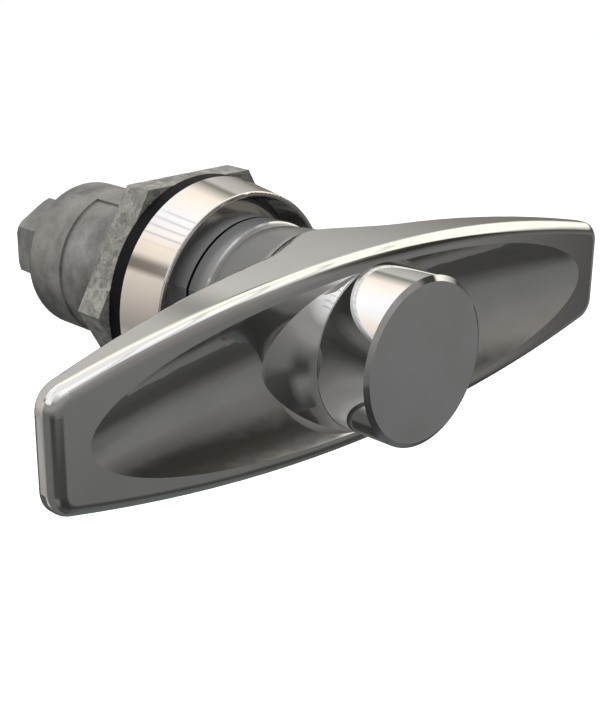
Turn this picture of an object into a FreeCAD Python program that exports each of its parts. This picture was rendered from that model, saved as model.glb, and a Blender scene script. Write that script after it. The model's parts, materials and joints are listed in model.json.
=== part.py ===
"""Quarter-turn cam latch with a polished wing handle.

The latch axis lies along Y: the wing handle is at -Y, the threaded barrel goes
through the panel towards +Y. The wing lies along X in the closed position and
Z is up. The origin is the centre of the panel seat, on the gasket's back face.
All sizes are in millimetres.
"""

import FreeCAD, Part
import math
import os

import Sketcher

os.makedirs("parts", exist_ok=True)

Vector = FreeCAD.Vector

# Driving sizes, each named for what it sets
SIZES = {
    # Wing handle outline and face
    "wing_half_length": 50.0,
    "wing_half_mid": 12.8,
    "wing_half_end": 7.0,
    "wing_corner": 3.2,
    "wing_face": -33.3,
    "wing_end_thick": 3.27,
    "rim_round": 1.7,
    "back_round": 0.9,
    # Rear ring of the handle, and the trumpet neck that opens into the wing's back
    "hub_radius": 12.4,
    "hub_flat_depth": 1.0,
    "handle_rear": -10.25,
    "hub_ring_width": 2.85,
    "neck_step_rise": 0.3,
    "neck_rear_step": 0.4,
    "neck_swell": 0.1,
    "neck_front": -19.2,
    "flare_round": 6.0,
    "flare_reach": 5.1,
    "flare_toe": -25.13,
    # Scoops in the wing's face, and the boss between them
    "scoop_end_rim": 4.9,
    "scoop_side_rim": 2.2,
    "scoop_depth": 4.5,
    "boss_shoulder": 0.12,
    "boss_flank_round": 7.5,
    "boss_reach": 5.5,
    "boss_drop": 4.0,
    # Cavities of the handle
    "socket_clearance": 0.05,
    "socket_depth": 12.2,
    "web_front": -26.2,
    "cavity_radius": 7.2,
    "pin_clearance": 0.1,
    "stop_slot_depth": 2.6,
    "stop_slot_overrun": 0.35,
    # Cover button
    "button_radius": 11.03,
    "button_height": 8.05,
    "button_bevel": 0.68,
    "button_bevel_rise": 0.43,
    "button_bore_front": -38.2,
    "head_clearance": 0.35,
    "stem_clearance": 0.08,
    "button_stem_rear": -29.6,
    "button_groove_depth": 0.82,
    "button_groove_front": -32.3,
    "button_groove_rear": -31.1,
    "button_ring_tube": 0.42,
    # Collar and gasket
    "seat_radius": 16.69,
    "collar_taper": 0.99,
    "collar_front": -9.14,
    "collar_back": -2.33,
    "collar_rim": 0.65,
    "collar_wall": 2.34,
    "collar_floor": -4.2,
    "collar_dish_round": 0.9,
    "barrel_clearance": 0.06,
    "gasket_clearance": 0.11,
    # Nut
    "nut_flats": 32.0,
    "nut_rear": 4.55,
    "nut_bore_chamfer": 0.6,
    # Housing
    "housing_front": -9.85,
    "barrel_radius": 11.19,
    "barrel_rear": 27.3,
    "barrel_round": 1.6,
    "recess_depth": 0.33,
    "recess_front": 9.0,
    "recess_rear": 18.8,
    "recess_angle": 142.0,
    "front_bore_clearance": 0.3,
    "bearing_seat": -4.0,
    "step_face": 21.0,
    "counterbore_radius": 9.0,
    "clip_groove_depth": 0.6,
    "clip_groove_set": 1.4,
    "clip_groove_width": 1.0,
    # Seals
    "seal_inset": 1.5,
    "seal_width": 1.6,
    "seal_groove_depth": 1.4,
    "hub_seal_tube": 0.8,
    "shaft_ring_stand": 0.98,
    "shaft_ring_tube": 0.95,
    "shaft_ring_front": 6.2,
    "shaft_ring_rear": 10.7,
    # Bearings, washers and clip
    "bearing_clearance": 0.05,
    "sleeve_wall": 1.55,
    "bearing_front_end": 4.0,
    "bearing_rear_start": 13.0,
    "thrust_bore_clearance": 0.25,
    "thrust_clearance": 0.15,
    "thrust_thick": 0.95,
    "spring_bore_clearance": 0.2,
    "spring_clearance": 0.5,
    "spring_strip": 0.45,
    "spring_play": 0.05,
    "clip_fit": 0.05,
    "clip_width": 2.05,
    "clip_gap": 5.0,
    "clip_gap_depth": 3.55,
    "clip_lug_hole": 0.7,
    # Spindle
    "journal_radius": 6.0,
    "square_half": 4.2,
    "square_front": -22.0,
    "shaft_groove_depth": 0.4,
    "shaft_groove_half": 1.2,
    "flange_clearance": 0.3,
    "flange_front": 23.0,
    "flange_thick": 1.6,
    "tail_flats": 12.2,
    "tail_end": 36.6,
    "tail_chamfer": 0.5,
    "tap_radius": 3.0,
    "front_tap_depth": 15.0,
    "rear_tap_depth": 13.0,
    # Handle screw and its washer
    "screw_radius": 2.95,
    "screw_clearance": 0.25,
    "screw_end": -8.0,
    "screw_head_radius": 5.0,
    "screw_head_height": 4.0,
    "screw_bevel": 0.4,
    "screw_key_flats": 4.0,
    "screw_key_depth": 2.2,
    "washer_thick": 1.4,
    "washer_clearance": 0.15,
    "washer_wall": 1.8,
    "washer_split": 0.8,
    # Stop pin
    "pin_inset": 4.5,
    "pin_radius": 1.0,
    "pin_bevel": 0.2,
    "pin_front": -12.5,
    "pin_rear": -5.2,
}

# Sizes that keep their distance from another one: the other size, which way, and the distance
FOLLOWS = {
    "hub_flat": ("hub_radius", "-", "hub_flat_depth"),
    "hub_ring_front": ("handle_rear", "-", "hub_ring_width"),
    "neck_step": ("hub_ring_front", "-", "neck_step_rise"),
    "neck_rear_radius": ("hub_radius", "-", "neck_rear_step"),
    "neck_front_radius": ("hub_radius", "+", "neck_swell"),
    "flare_toe_radius": ("neck_front_radius", "+", "flare_reach"),
    "scoop_half_length": ("wing_half_length", "-", "scoop_end_rim"),
    "scoop_half_height": ("wing_half_mid", "-", "scoop_side_rim"),
    "boss_radius": ("button_radius", "+", "boss_shoulder"),
    "boss_toe_radius": ("boss_radius", "+", "boss_reach"),
    "boss_toe": ("wing_face", "+", "boss_drop"),
    "socket_half": ("square_half", "+", "socket_clearance"),
    "screw_hole_radius": ("screw_radius", "+", "screw_clearance"),
    "screw_seat": ("web_front", "-", "washer_thick"),
    "washer_in": ("screw_radius", "+", "washer_clearance"),
    "washer_out": ("washer_in", "+", "washer_wall"),
    "stop_slot_radius": ("pin_radius", "+", "pin_clearance"),
    "pin_circle": ("hub_radius", "-", "pin_inset"),
    "button_face": ("wing_face", "-", "button_height"),
    "button_chamfer": ("button_face", "+", "button_bevel_rise"),
    "button_face_radius": ("button_radius", "-", "button_bevel"),
    "button_bore_radius": ("screw_head_radius", "+", "head_clearance"),
    "button_stem_radius": ("cavity_radius", "-", "stem_clearance"),
    "button_groove_radius": ("button_stem_radius", "-", "button_groove_depth"),
    "button_ring_mid": ("button_groove_radius", "+", "button_ring_tube"),
    "collar_front_radius": ("seat_radius", "-", "collar_taper"),
    "collar_dish_radius": ("seat_radius", "-", "collar_wall"),
    "collar_hole_radius": ("barrel_radius", "+", "barrel_clearance"),
    "nut_bore_radius": ("barrel_radius", "+", "barrel_clearance"),
    "gasket_hole_radius": ("barrel_radius", "+", "gasket_clearance"),
    "recess_radius": ("barrel_radius", "-", "recess_depth"),
    "front_bore_radius": ("journal_radius", "+", "front_bore_clearance"),
    "bearing_in": ("journal_radius", "+", "bearing_clearance"),
    "bore_radius": ("bearing_in", "+", "sleeve_wall"),
    "clip_groove_radius": ("counterbore_radius", "+", "clip_groove_depth"),
    "clip_groove_rear": ("barrel_rear", "-", "clip_groove_set"),
    "clip_groove_front": ("clip_groove_rear", "-", "clip_groove_width"),
    "clip_out": ("clip_groove_radius", "-", "clip_fit"),
    "clip_in": ("clip_out", "-", "clip_width"),
    "clip_front": ("clip_groove_front", "+", "clip_fit"),
    "clip_rear": ("clip_groove_rear", "-", "clip_fit"),
    "thrust_in": ("journal_radius", "+", "thrust_bore_clearance"),
    "thrust_out": ("counterbore_radius", "-", "thrust_clearance"),
    "thrust_rear": ("step_face", "+", "thrust_thick"),
    "spring_in": ("journal_radius", "+", "spring_bore_clearance"),
    "spring_out": ("counterbore_radius", "-", "spring_clearance"),
    "flange_radius": ("counterbore_radius", "-", "flange_clearance"),
    "flange_rear": ("flange_front", "+", "flange_thick"),
    "shaft_groove_radius": ("journal_radius", "-", "shaft_groove_depth"),
    "shaft_ring_mid": ("shaft_groove_radius", "+", "shaft_ring_stand"),
    "seal_groove_out": ("hub_radius", "-", "seal_inset"),
    "seal_groove_in": ("seal_groove_out", "-", "seal_width"),
    "seal_groove_floor": ("housing_front", "+", "seal_groove_depth"),
    "hub_seal_mid": ("seal_groove_out", "-", "hub_seal_tube"),
    "hub_seal_centre": ("seal_groove_floor", "-", "hub_seal_tube"),
}

doc = FreeCAD.newDocument("cam_latch")
sheet = doc.addObject("Spreadsheet::Sheet", "Sizes")


class Size:
    """A length that keeps the sheet expression it comes from beside its value."""

    def __init__(self, value, text):
        self.value = float(value)
        self.text = text

    def __add__(self, other):
        other = as_size(other)
        return Size(self.value + other.value, "(%s + %s)" % (self.text, other.text))

    def __sub__(self, other):
        other = as_size(other)
        return Size(self.value - other.value, "(%s - %s)" % (self.text, other.text))

    def __mul__(self, other):
        other = as_size(other)
        return Size(self.value * other.value, "(%s * %s)" % (self.text, other.text))

    def __truediv__(self, other):
        other = as_size(other)
        return Size(self.value / other.value, "(%s / %s)" % (self.text, other.text))

    def __neg__(self):
        return Size(-self.value, "(0 - %s)" % self.text)


def as_size(number):
    """A plain number as a Size."""
    if isinstance(number, Size):
        return number
    return Size(number, "(%r)" % float(number))


def root(number):
    """The square root of a Size."""
    return Size(math.sqrt(number.value), "sqrt(%s)" % number.text)


def fill_sheet():
    """Writes every driving size into the sheet under its own name."""
    for row, (name, value) in enumerate(SIZES.items(), start=1):
        sheet.set("A%d" % row, name)
        sheet.set("B%d" % row, str(value))
        sheet.setAlias("B%d" % row, name)
    doc.recompute()


def size(name):
    """The sheet's size of that name, or the size that follows from others."""
    if name not in FOLLOWS:
        return Size(SIZES[name], "Sizes.%s" % name)
    base, way, step = FOLLOWS[name]
    if way == "+":
        return size(base) + size(step)
    return size(base) - size(step)


def bind(target, path, value):
    """Ties a property to its sheet expression."""
    target.setExpression(path, as_size(value).text)


def new_body(label):
    """An empty body with its label."""
    body = doc.addObject("PartDesign::Body", label)
    body.Label = label
    return body


def origin_plane(body, role):
    """The body's own origin plane of that role."""
    for feature in body.Origin.OriginFeatures:
        if feature.Role == role:
            return feature
    raise ValueError(role)


def sketch_on(body, name, role, offset=None):
    """A sketch on an origin plane, moved along the plane's normal by the offset."""
    sketch = body.newObject("Sketcher::SketchObject", name)
    sketch.AttachmentSupport = (origin_plane(body, role), [""])
    sketch.MapMode = "FlatFace"
    if offset is not None:
        bind(sketch, "AttachmentOffset.Base.z", offset)
    doc.recompute()
    return sketch


def axial_sketch(body, name):
    """A sketch in the plane of the latch axis: x is the radius, y the axis."""
    return sketch_on(body, name, "XY_Plane")


def cross_sketch(body, name, station):
    """A sketch square to the latch axis at that station; its normal is -Y."""
    return sketch_on(body, name, "XZ_Plane", -as_size(station))


def arc_between(start, end, radius, bulge):
    """An arc that bends to the left (+1) or right (-1) of the way; it is drawn anticlockwise."""
    chord = end - start
    left = Vector(-chord.y, chord.x, 0)
    left.normalize()
    half = chord.Length / 2
    stand = math.sqrt(max(radius * radius - half * half, 0.0))
    centre = (start + end) * 0.5 - left * (bulge * stand)
    first, last = (end, start) if bulge > 0 else (start, end)
    opening = math.atan2(first.y - centre.y, first.x - centre.x)
    closing = math.atan2(last.y - centre.y, last.x - centre.x)
    full = Part.Circle(centre, Vector(0, 0, 1), radius)
    return Part.ArcOfCircle(full, opening, closing)


def outline(sketch, points):
    """A closed outline. Each point is (x, y) or (x, y, radius, bulge) for an arc that leaves it."""
    base = sketch.GeometryCount
    corners = [(as_size(p[0]), as_size(p[1])) for p in points]
    places = [Vector(x.value, y.value, 0) for x, y in corners]
    count = len(points)
    ends = []
    for index, point in enumerate(points):
        start, end = places[index], places[(index + 1) % count]
        if len(point) == 4:
            piece = arc_between(start, end, as_size(point[2]).value, point[3])
            ends.append((2, 1) if point[3] > 0 else (1, 2))
        else:
            piece = Part.LineSegment(start, end)
            ends.append((1, 2))
        sketch.addGeometry(piece, False)
    for index in range(count):
        after = (index + 1) % count
        sketch.addConstraint(Sketcher.Constraint(
            "Coincident", base + index, ends[index][1], base + after, ends[after][0]))
    for index, (x, y) in enumerate(corners):
        pin_point(sketch, base + index, ends[index][0], x, y)
        if len(points[index]) == 4:
            radius = as_size(points[index][2])
            number = sketch.addConstraint(Sketcher.Constraint("Radius", base + index, radius.value))
            bind(sketch, "Constraints[%d]" % number, radius)


def pin_point(sketch, curve, end, x, y):
    """Holds one sketch point at its sheet coordinates."""
    for kind, value in (("DistanceX", x), ("DistanceY", y)):
        number = sketch.addConstraint(Sketcher.Constraint(kind, -1, 1, curve, end, value.value))
        bind(sketch, "Constraints[%d]" % number, value)


def circle(sketch, x, y, radius):
    """A circle held at its centre and radius."""
    x, y, radius = as_size(x), as_size(y), as_size(radius)
    curve = sketch.addGeometry(
        Part.Circle(Vector(x.value, y.value, 0), Vector(0, 0, 1), radius.value), False)
    pin_point(sketch, curve, 3, x, y)
    number = sketch.addConstraint(Sketcher.Constraint("Radius", curve, radius.value))
    bind(sketch, "Constraints[%d]" % number, radius)


def hexagon(sketch, flats, corner_up):
    """A hexagon about the axis, with a corner up or a flat up."""
    radius = flats / math.sqrt(3.0)
    turn = 30.0 if corner_up else 0.0
    points = []
    for index in range(6):
        angle = math.radians(60.0 * index + turn)
        points.append((radius * round(math.cos(angle), 9), radius * round(math.sin(angle), 9)))
    outline(sketch, points)


def square(sketch, half):
    """A square about the axis."""
    outline(sketch, [(-half, -half), (half, -half), (half, half), (-half, half)])


def box(sketch, left, right, low, high):
    """An upright rectangle."""
    outline(sketch, [(left, low), (right, low), (right, high), (left, high)])


def turned(body, name, points):
    """Adds a body of revolution about the latch axis."""
    sketch = axial_sketch(body, name + "_profile")
    outline(sketch, points)
    doc.recompute()
    feature = body.newObject("PartDesign::Revolution", name)
    feature.Profile = sketch
    feature.ReferenceAxis = (sketch, ["V_Axis"])
    feature.Angle = 360.0
    doc.recompute()
    return feature


def turned_cut(body, name, points, angle=None, start=0.0):
    """Cuts a body of revolution about the axis, all round or over an angle centred on start."""
    sketch = axial_sketch(body, name + "_profile")
    if start:
        sketch.AttachmentOffset = FreeCAD.Placement(
            Vector(0, 0, 0), FreeCAD.Rotation(Vector(0, 1, 0), start))
    outline(sketch, points)
    doc.recompute()
    feature = body.newObject("PartDesign::Groove", name)
    feature.Profile = sketch
    feature.ReferenceAxis = (sketch, ["V_Axis"])
    if angle is None:
        feature.Angle = 360.0
    else:
        feature.Midplane = True
        bind(feature, "Angle", angle)
    doc.recompute()
    return feature


def pad(body, name, sketch, length):
    """Pads a cross sketch forward, towards -Y."""
    doc.recompute()
    feature = body.newObject("PartDesign::Pad", name)
    feature.Profile = sketch
    bind(feature, "Length", length)
    doc.recompute()
    return feature


def pocket(body, name, sketch, length):
    """Cuts a cross sketch rearward, towards +Y."""
    doc.recompute()
    feature = body.newObject("PartDesign::Pocket", name)
    feature.Profile = sketch
    bind(feature, "Length", length)
    doc.recompute()
    return feature


def edges_where(shape, test):
    """Names of the edges whose middle passes the test."""
    names = []
    for index, edge in enumerate(shape.Edges, start=1):
        first, last = edge.ParameterRange
        if test(edge.valueAt((first + last) / 2), edge):
            names.append("Edge%d" % index)
    return names


def round_edges(body, name, radius, test):
    """Fillets the edges of the body's tip that pass the test."""
    tip = body.Tip
    names = edges_where(tip.Shape, test)
    if not names:
        raise ValueError(name)
    feature = body.newObject("PartDesign::Fillet", name)
    feature.Base = (tip, names)
    bind(feature, "Radius", radius)
    doc.recompute()
    return feature


def bevel_edges(body, name, width, test):
    """Chamfers the edges of the body's tip that pass the test."""
    tip = body.Tip
    names = edges_where(tip.Shape, test)
    if not names:
        raise ValueError(name)
    feature = body.newObject("PartDesign::Chamfer", name)
    feature.Base = (tip, names)
    bind(feature, "Size", width)
    doc.recompute()
    return feature


def near(number, target, within=0.02):
    """True where the two numbers agree."""
    return abs(number - target) < within


def plain_ring(label, inner, outer, front, rear):
    """A flat ring about the axis."""
    body = new_body(label)
    turned(body, label + "_ring", [(inner, front), (outer, front), (outer, rear), (inner, rear)])
    return body


def round_ring(label, middle, tube, station):
    """A ring of round section about the axis."""
    body = new_body(label)
    sketch = axial_sketch(body, label + "_section")
    circle(sketch, middle, station, tube)
    doc.recompute()
    feature = body.newObject("PartDesign::Revolution", label + "_ring")
    feature.Profile = sketch
    feature.ReferenceAxis = (sketch, ["V_Axis"])
    feature.Angle = 360.0
    doc.recompute()
    return body


def wing_outline(sketch):
    """The lens outline of the wing with its rounded corners."""
    length = size("wing_half_length")
    middle = size("wing_half_mid")
    corner = size("wing_corner")
    sag = middle - size("wing_half_end")
    bow = (length * length + sag * sag) / (sag * 2.0)
    reach = bow - corner
    across = length - corner
    lift = root(reach * reach - across * across)
    side = middle - bow + lift
    shoulder = across * bow / reach
    rise = middle - bow + lift * bow / reach
    outline(sketch, [
        (length, -side),
        (length, side, corner, -1.0),
        (shoulder, rise, bow, -1.0),
        (-shoulder, rise, corner, -1.0),
        (-length, side),
        (-length, -side, corner, -1.0),
        (-shoulder, -rise, bow, -1.0),
        (shoulder, -rise, corner, -1.0),
    ])


def wing_blank():
    """The wing with its trumpet back, neck, rear ring and inner cavities, before the scoops."""
    body = new_body("wing_blank")
    face = size("wing_face")
    rear = size("handle_rear")
    sketch = cross_sketch(body, "wing_lens", rear)
    wing_outline(sketch)
    pad(body, "wing_prism", sketch, rear - face)

    # Everything outside the trumpet, the neck and the rear ring is turned away
    length = size("wing_half_length")
    toe_radius = size("flare_toe_radius")
    toe = size("flare_toe")
    end = face + size("wing_end_thick")
    far = length * 1.2
    far_back = end + (end - toe) * (far - length) / (length - toe_radius)
    turned_cut(body, "trumpet_back", [
        (size("hub_radius"), rear + 2.0),
        (size("hub_radius"), size("hub_ring_front")),
        (size("neck_rear_radius"), size("neck_step")),
        (size("neck_front_radius"), size("neck_front"), size("flare_round"), -1.0),
        (toe_radius, toe),
        (far, far_back),
        (far, rear + 2.0),
    ])

    def front_rim(point, edge):
        return near(point.y, face.value)

    def back_rim(point, edge):
        away = math.hypot(point.x, point.z)
        outside = away > toe_radius.value - 0.1 and point.y > face.value + 1.0
        return outside and len(edge.Vertexes) == 2 and not along_axis(edge)

    round_edges(body, "back_edge", size("back_round"), back_rim)
    round_edges(body, "front_edge", size("rim_round"), front_rim)

    flats = cross_sketch(body, "hub_flats", size("hub_ring_front"))
    wide = size("hub_radius") + 2.0
    box(flats, size("hub_flat"), wide, -wide, wide)
    box(flats, -wide, -size("hub_flat"), -wide, wide)
    pocket(body, "hub_flat_pair", flats, rear - size("hub_ring_front") + 1.0)

    socket = cross_sketch(body, "drive_socket", rear - size("socket_depth"))
    square(socket, size("socket_half"))
    pocket(body, "drive_socket_cut", socket, size("socket_depth") + 1.0)

    turned_cut(body, "front_cavity", [
        (0.0, face - 1.0),
        (size("cavity_radius"), face - 1.0),
        (size("cavity_radius"), size("web_front")),
        (size("screw_hole_radius"), size("web_front")),
        (size("screw_hole_radius"), rear - size("socket_depth") + 1.0),
        (0.0, rear - size("socket_depth") + 1.0),
    ])
    stop_slot(body, rear)
    return body


def along_axis(edge):
    """True for a straight edge that runs along the latch axis."""
    way = edge.tangentAt(edge.ParameterRange[0])
    return abs(way.y) > 0.99


def stop_slot(body, rear):
    """The quarter-circle slot in the handle's rear face that the stop pin runs in."""
    sketch = cross_sketch(body, "stop_slot_outline", rear - size("stop_slot_depth"))
    half = size("stop_slot_radius")
    inner = size("pin_circle") - half
    outer = size("pin_circle") + half
    over = size("stop_slot_overrun")
    blunt = half * 1.05
    outline(sketch, [
        (0.0, inner),
        (over, inner, blunt, -1.0),
        (over, outer),
        (0.0, outer, outer, -1.0),
        (-outer, 0.0),
        (-outer, -over, blunt, -1.0),
        (-inner, -over),
        (-inner, 0.0, inner, 1.0),
    ])
    pocket(body, "stop_slot", sketch, size("stop_slot_depth") + 1.0)


def scoop_tool():
    """The long dish cut out of the wing's face, less the boss that stands in it."""
    body = new_body("scoop_tool")
    height = size("scoop_half_height")
    depth = size("scoop_depth")
    ball = (height * height + depth * depth) / (depth * 2.0)
    dish = body.newObject("PartDesign::AdditiveEllipsoid", "dish")
    dish.AttachmentSupport = (origin_plane(body, "XY_Plane"), [""])
    dish.MapMode = "FlatFace"
    bind(dish, "Radius1", ball)
    bind(dish, "Radius2", size("scoop_half_length") * ball / height)
    bind(dish, "Radius3", ball)
    bind(dish, "AttachmentOffset.Base.y", size("wing_face") - (ball - depth))
    doc.recompute()
    turned_cut(body, "boss", [
        (0.0, size("wing_face")),
        (size("boss_radius"), size("wing_face"), size("boss_flank_round"), 1.0),
        (size("boss_toe_radius"), size("boss_toe")),
        (size("boss_toe_radius"), size("neck_front")),
        (0.0, size("neck_front")),
    ])
    return body


def wing_handle():
    """The cast wing handle: the blank with both scoops cut into its face."""
    blank = wing_blank()
    tool = scoop_tool()
    handle = doc.addObject("Part::Cut", "wing_handle")
    handle.Label = "wing_handle"
    handle.Base = blank
    handle.Tool = tool
    doc.recompute()
    return handle


def cover_button():
    """The round cap over the handle screw, with its stem and seal groove."""
    body = new_body("cover_button")
    face = size("wing_face")
    stem = size("button_stem_radius")
    turned(body, "button_shell", [
        (0.0, size("button_face")),
        (size("button_face_radius"), size("button_face")),
        (size("button_radius"), size("button_chamfer")),
        (size("button_radius"), face),
        (stem, face),
        (stem, size("button_groove_front")),
        (size("button_groove_radius"), size("button_groove_front")),
        (size("button_groove_radius"), size("button_groove_rear")),
        (stem, size("button_groove_rear")),
        (stem, size("button_stem_rear")),
        (size("button_bore_radius"), size("button_stem_rear")),
        (size("button_bore_radius"), size("button_bore_front")),
        (0.0, size("button_bore_front")),
    ])
    return body


def button_oring():
    """The rubber ring that holds the button in the handle."""
    station = (size("button_groove_front") + size("button_groove_rear")) / 2.0
    return round_ring("button_oring", size("button_ring_mid"), size("button_ring_tube"), station)


def collar():
    """The polished dished collar between the housing's head and the gasket."""
    body = new_body("collar")
    front = size("collar_front")
    floor = size("collar_floor")
    curve = size("collar_dish_round")
    turned(body, "collar_dish", [
        (size("collar_hole_radius"), floor),
        (size("collar_dish_radius") - curve, floor, curve, 1.0),
        (size("collar_dish_radius"), floor - curve),
        (size("collar_front_radius") - size("collar_rim"), front),
        (size("collar_front_radius"), front),
        (size("seat_radius"), size("collar_back")),
        (size("collar_hole_radius"), size("collar_back")),
    ])
    round_edges(body, "collar_rim_round", size("collar_rim") * 0.38,
                lambda point, edge: near(point.y, front.value) and len(edge.Vertexes) == 1)
    return body


def panel_gasket():
    """The flat rubber gasket on the panel."""
    return plain_ring("panel_gasket", size("gasket_hole_radius"), size("seat_radius"),
                      size("collar_back"), as_size(0.0))


def panel_nut():
    """The thin hexagon nut that clamps the latch to the panel."""
    body = new_body("panel_nut")
    sketch = cross_sketch(body, "nut_outline", size("nut_rear"))
    hexagon(sketch, size("nut_flats"), False)
    pad(body, "nut_plate", sketch, size("nut_rear"))
    bore = size("nut_bore_radius")
    bevel = size("nut_bore_chamfer")
    turned_cut(body, "nut_bore", [
        (0.0, as_size(-1.0)),
        (bore + bevel + 1.0, as_size(-1.0)),
        (bore, bevel),
        (bore, size("nut_rear") - bevel),
        (bore + bevel + 1.0, size("nut_rear") + 1.0),
        (0.0, size("nut_rear") + 1.0),
    ])
    return body


def housing():
    """The cast housing: head, barrel, stepped bore, seal groove and marking recesses."""
    body = new_body("housing")
    front = size("housing_front")
    rear = size("barrel_rear")
    barrel = size("barrel_radius")
    curve = size("barrel_round")
    turned(body, "housing_turned", [
        (size("front_bore_radius"), front),
        (size("seal_groove_in"), front),
        (size("seal_groove_in"), size("seal_groove_floor")),
        (size("seal_groove_out"), size("seal_groove_floor")),
        (size("seal_groove_out"), front),
        (size("hub_radius"), front),
        (size("hub_radius"), size("collar_floor")),
        (barrel, size("collar_floor")),
        (barrel, rear - curve, curve, -1.0),
        (barrel - curve, rear),
        (size("counterbore_radius"), rear),
        (size("counterbore_radius"), size("clip_groove_rear")),
        (size("clip_groove_radius"), size("clip_groove_rear")),
        (size("clip_groove_radius"), size("clip_groove_front")),
        (size("counterbore_radius"), size("clip_groove_front")),
        (size("counterbore_radius"), size("step_face")),
        (size("bore_radius"), size("step_face")),
        (size("bore_radius"), size("bearing_seat")),
        (size("front_bore_radius"), size("bearing_seat")),
    ])
    for name, side in (("recess_left", 180.0), ("recess_right", 0.0)):
        turned_cut(body, name, [
            (size("recess_radius"), size("recess_front")),
            (barrel + 1.0, size("recess_front") - 1.0),
            (barrel + 1.0, size("recess_rear")),
            (size("recess_radius"), size("recess_rear")),
        ], size("recess_angle"), side)
    flats = cross_sketch(body, "head_flats", front - 0.5)
    wide = size("hub_radius") + 2.0
    box(flats, size("hub_flat"), wide, -wide, wide)
    box(flats, -wide, -size("hub_flat"), -wide, wide)
    pocket(body, "head_flat_pair", flats, size("collar_floor") - front + 0.5)
    hole = cross_sketch(body, "pin_hole_outline", front - 0.5)
    circle(hole, 0.0, size("pin_circle"), size("pin_radius"))
    pocket(body, "pin_hole", hole, size("pin_rear") - front + 0.5)
    return body


def hub_seal():
    """The rubber ring between the housing's head and the turning handle."""
    return round_ring("hub_seal", size("hub_seal_mid"), size("hub_seal_tube"),
                      size("hub_seal_centre"))


def shaft_oring(label, station):
    """A rubber ring in a groove of the spindle."""
    return round_ring(label, size("shaft_ring_mid"), size("shaft_ring_tube"), station)


def disc_spring():
    """The coned spring ring that takes up the spindle's play."""
    body = new_body("disc_spring")
    strip = size("spring_strip")
    low = size("thrust_rear") + size("spring_play")
    high = size("flange_front")
    turned(body, "spring_cone", [
        (size("spring_in"), high - strip),
        (size("spring_out"), low),
        (size("spring_out"), low + strip),
        (size("spring_in"), high),
    ])
    return body


def retaining_clip():
    """The internal spring clip that keeps the spindle in the barrel."""
    body = new_body("retaining_clip")
    front = size("clip_front")
    rear = size("clip_rear")
    sketch = cross_sketch(body, "clip_outline", rear)
    circle(sketch, 0.0, 0.0, size("clip_out"))
    circle(sketch, 0.0, 0.0, size("clip_in"))
    pad(body, "clip_ring", sketch, rear - front)
    gap = cross_sketch(body, "clip_gap_outline", front - 0.5)
    half = size("clip_gap") / 2.0
    box(gap, -half, half, -size("clip_out") - 1.0, size("clip_gap_depth") - size("clip_out"))
    pocket(body, "clip_opening", gap, rear - front + 1.0)
    holes = cross_sketch(body, "clip_lug_holes", front - 0.5)
    reach = (size("clip_in") + size("clip_out")) / 2.0
    for side in (-1.0, 1.0):
        circle(holes, reach * (side * 0.47), -(reach * 0.883), size("clip_lug_hole"))
    pocket(body, "clip_holes", holes, rear - front + 1.0)
    return body


def spindle():
    """The spindle: square front, journal with seal grooves, flange and hexagon tail."""
    body = new_body("spindle")
    journal = size("journal_radius")
    groove = size("shaft_groove_radius")
    half = size("shaft_groove_half")
    first = size("shaft_ring_front")
    second = size("shaft_ring_rear")
    shoulder = size("handle_rear")
    turned(body, "journal", [
        (0.0, shoulder),
        (journal, shoulder),
        (journal, first - half),
        (groove, first - half),
        (groove, first + half),
        (journal, first + half),
        (journal, second - half),
        (groove, second - half),
        (groove, second + half),
        (journal, second + half),
        (journal, size("flange_front")),
        (size("flange_radius"), size("flange_front")),
        (size("flange_radius"), size("flange_rear")),
        (0.0, size("flange_rear")),
    ])
    tail = cross_sketch(body, "tail_outline", size("tail_end"))
    hexagon(tail, size("tail_flats"), True)
    pad(body, "hexagon_tail", tail, size("tail_end") - size("flange_rear"))
    end = size("tail_end")
    bevel = size("tail_chamfer")
    corner = size("tail_flats") / math.sqrt(3.0)
    turned_cut(body, "tail_bevel", [
        (corner - bevel, end),
        (corner + 1.0, end - bevel - 1.0),
        (corner + 1.0, end + 1.0),
        (corner - bevel, end + 1.0),
    ])
    front = cross_sketch(body, "square_outline", shoulder)
    square(front, size("square_half"))
    pad(body, "square_front", front, shoulder - size("square_front"))
    turned_cut(body, "front_tapped_hole", tapped_hole(size("square_front"), 1.0, "front_tap_depth"))
    turned_cut(body, "rear_tapped_hole", tapped_hole(size("tail_end"), -1.0, "rear_tap_depth"))
    return body


def tapped_hole(mouth, way, depth_name):
    """Profile of a tapped hole with a drill point, entered along +Y (1) or -Y (-1)."""
    radius = size("tap_radius")
    depth = size(depth_name)
    return [
        (0.0, mouth - 0.5 * way),
        (radius, mouth - 0.5 * way),
        (radius, mouth + depth * way),
        (0.0, mouth + (depth + radius * 0.6) * way),
    ]


def handle_screw():
    """The low-head socket screw that draws the handle onto the spindle."""
    body = new_body("handle_screw")
    seat = size("screw_seat")
    head = size("screw_head_radius")
    top = seat - size("screw_head_height")
    bevel = size("screw_bevel")
    turned(body, "screw_turned", [
        (0.0, top),
        (head - bevel, top),
        (head, top + bevel),
        (head, seat),
        (size("screw_radius"), seat),
        (size("screw_radius"), size("screw_end") - bevel),
        (size("screw_radius") - bevel, size("screw_end")),
        (0.0, size("screw_end")),
    ])
    key = cross_sketch(body, "key_outline", top - 0.5)
    hexagon(key, size("screw_key_flats"), False)
    pocket(body, "key_socket", key, size("screw_key_depth") + 0.5)
    return body


def lock_washer():
    """The split spring washer under the screw's head."""
    body = plain_ring("lock_washer", size("washer_in"), size("washer_out"),
                      size("screw_seat"), size("web_front"))
    split = cross_sketch(body, "washer_split_outline", size("screw_seat") - 0.5)
    box(split, -size("washer_split") / 2.0, size("washer_split") / 2.0,
        as_size(0.0), size("washer_out") + 1.0)
    pocket(body, "washer_slit", split, size("web_front") - size("screw_seat") + 1.0)
    return body


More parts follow.
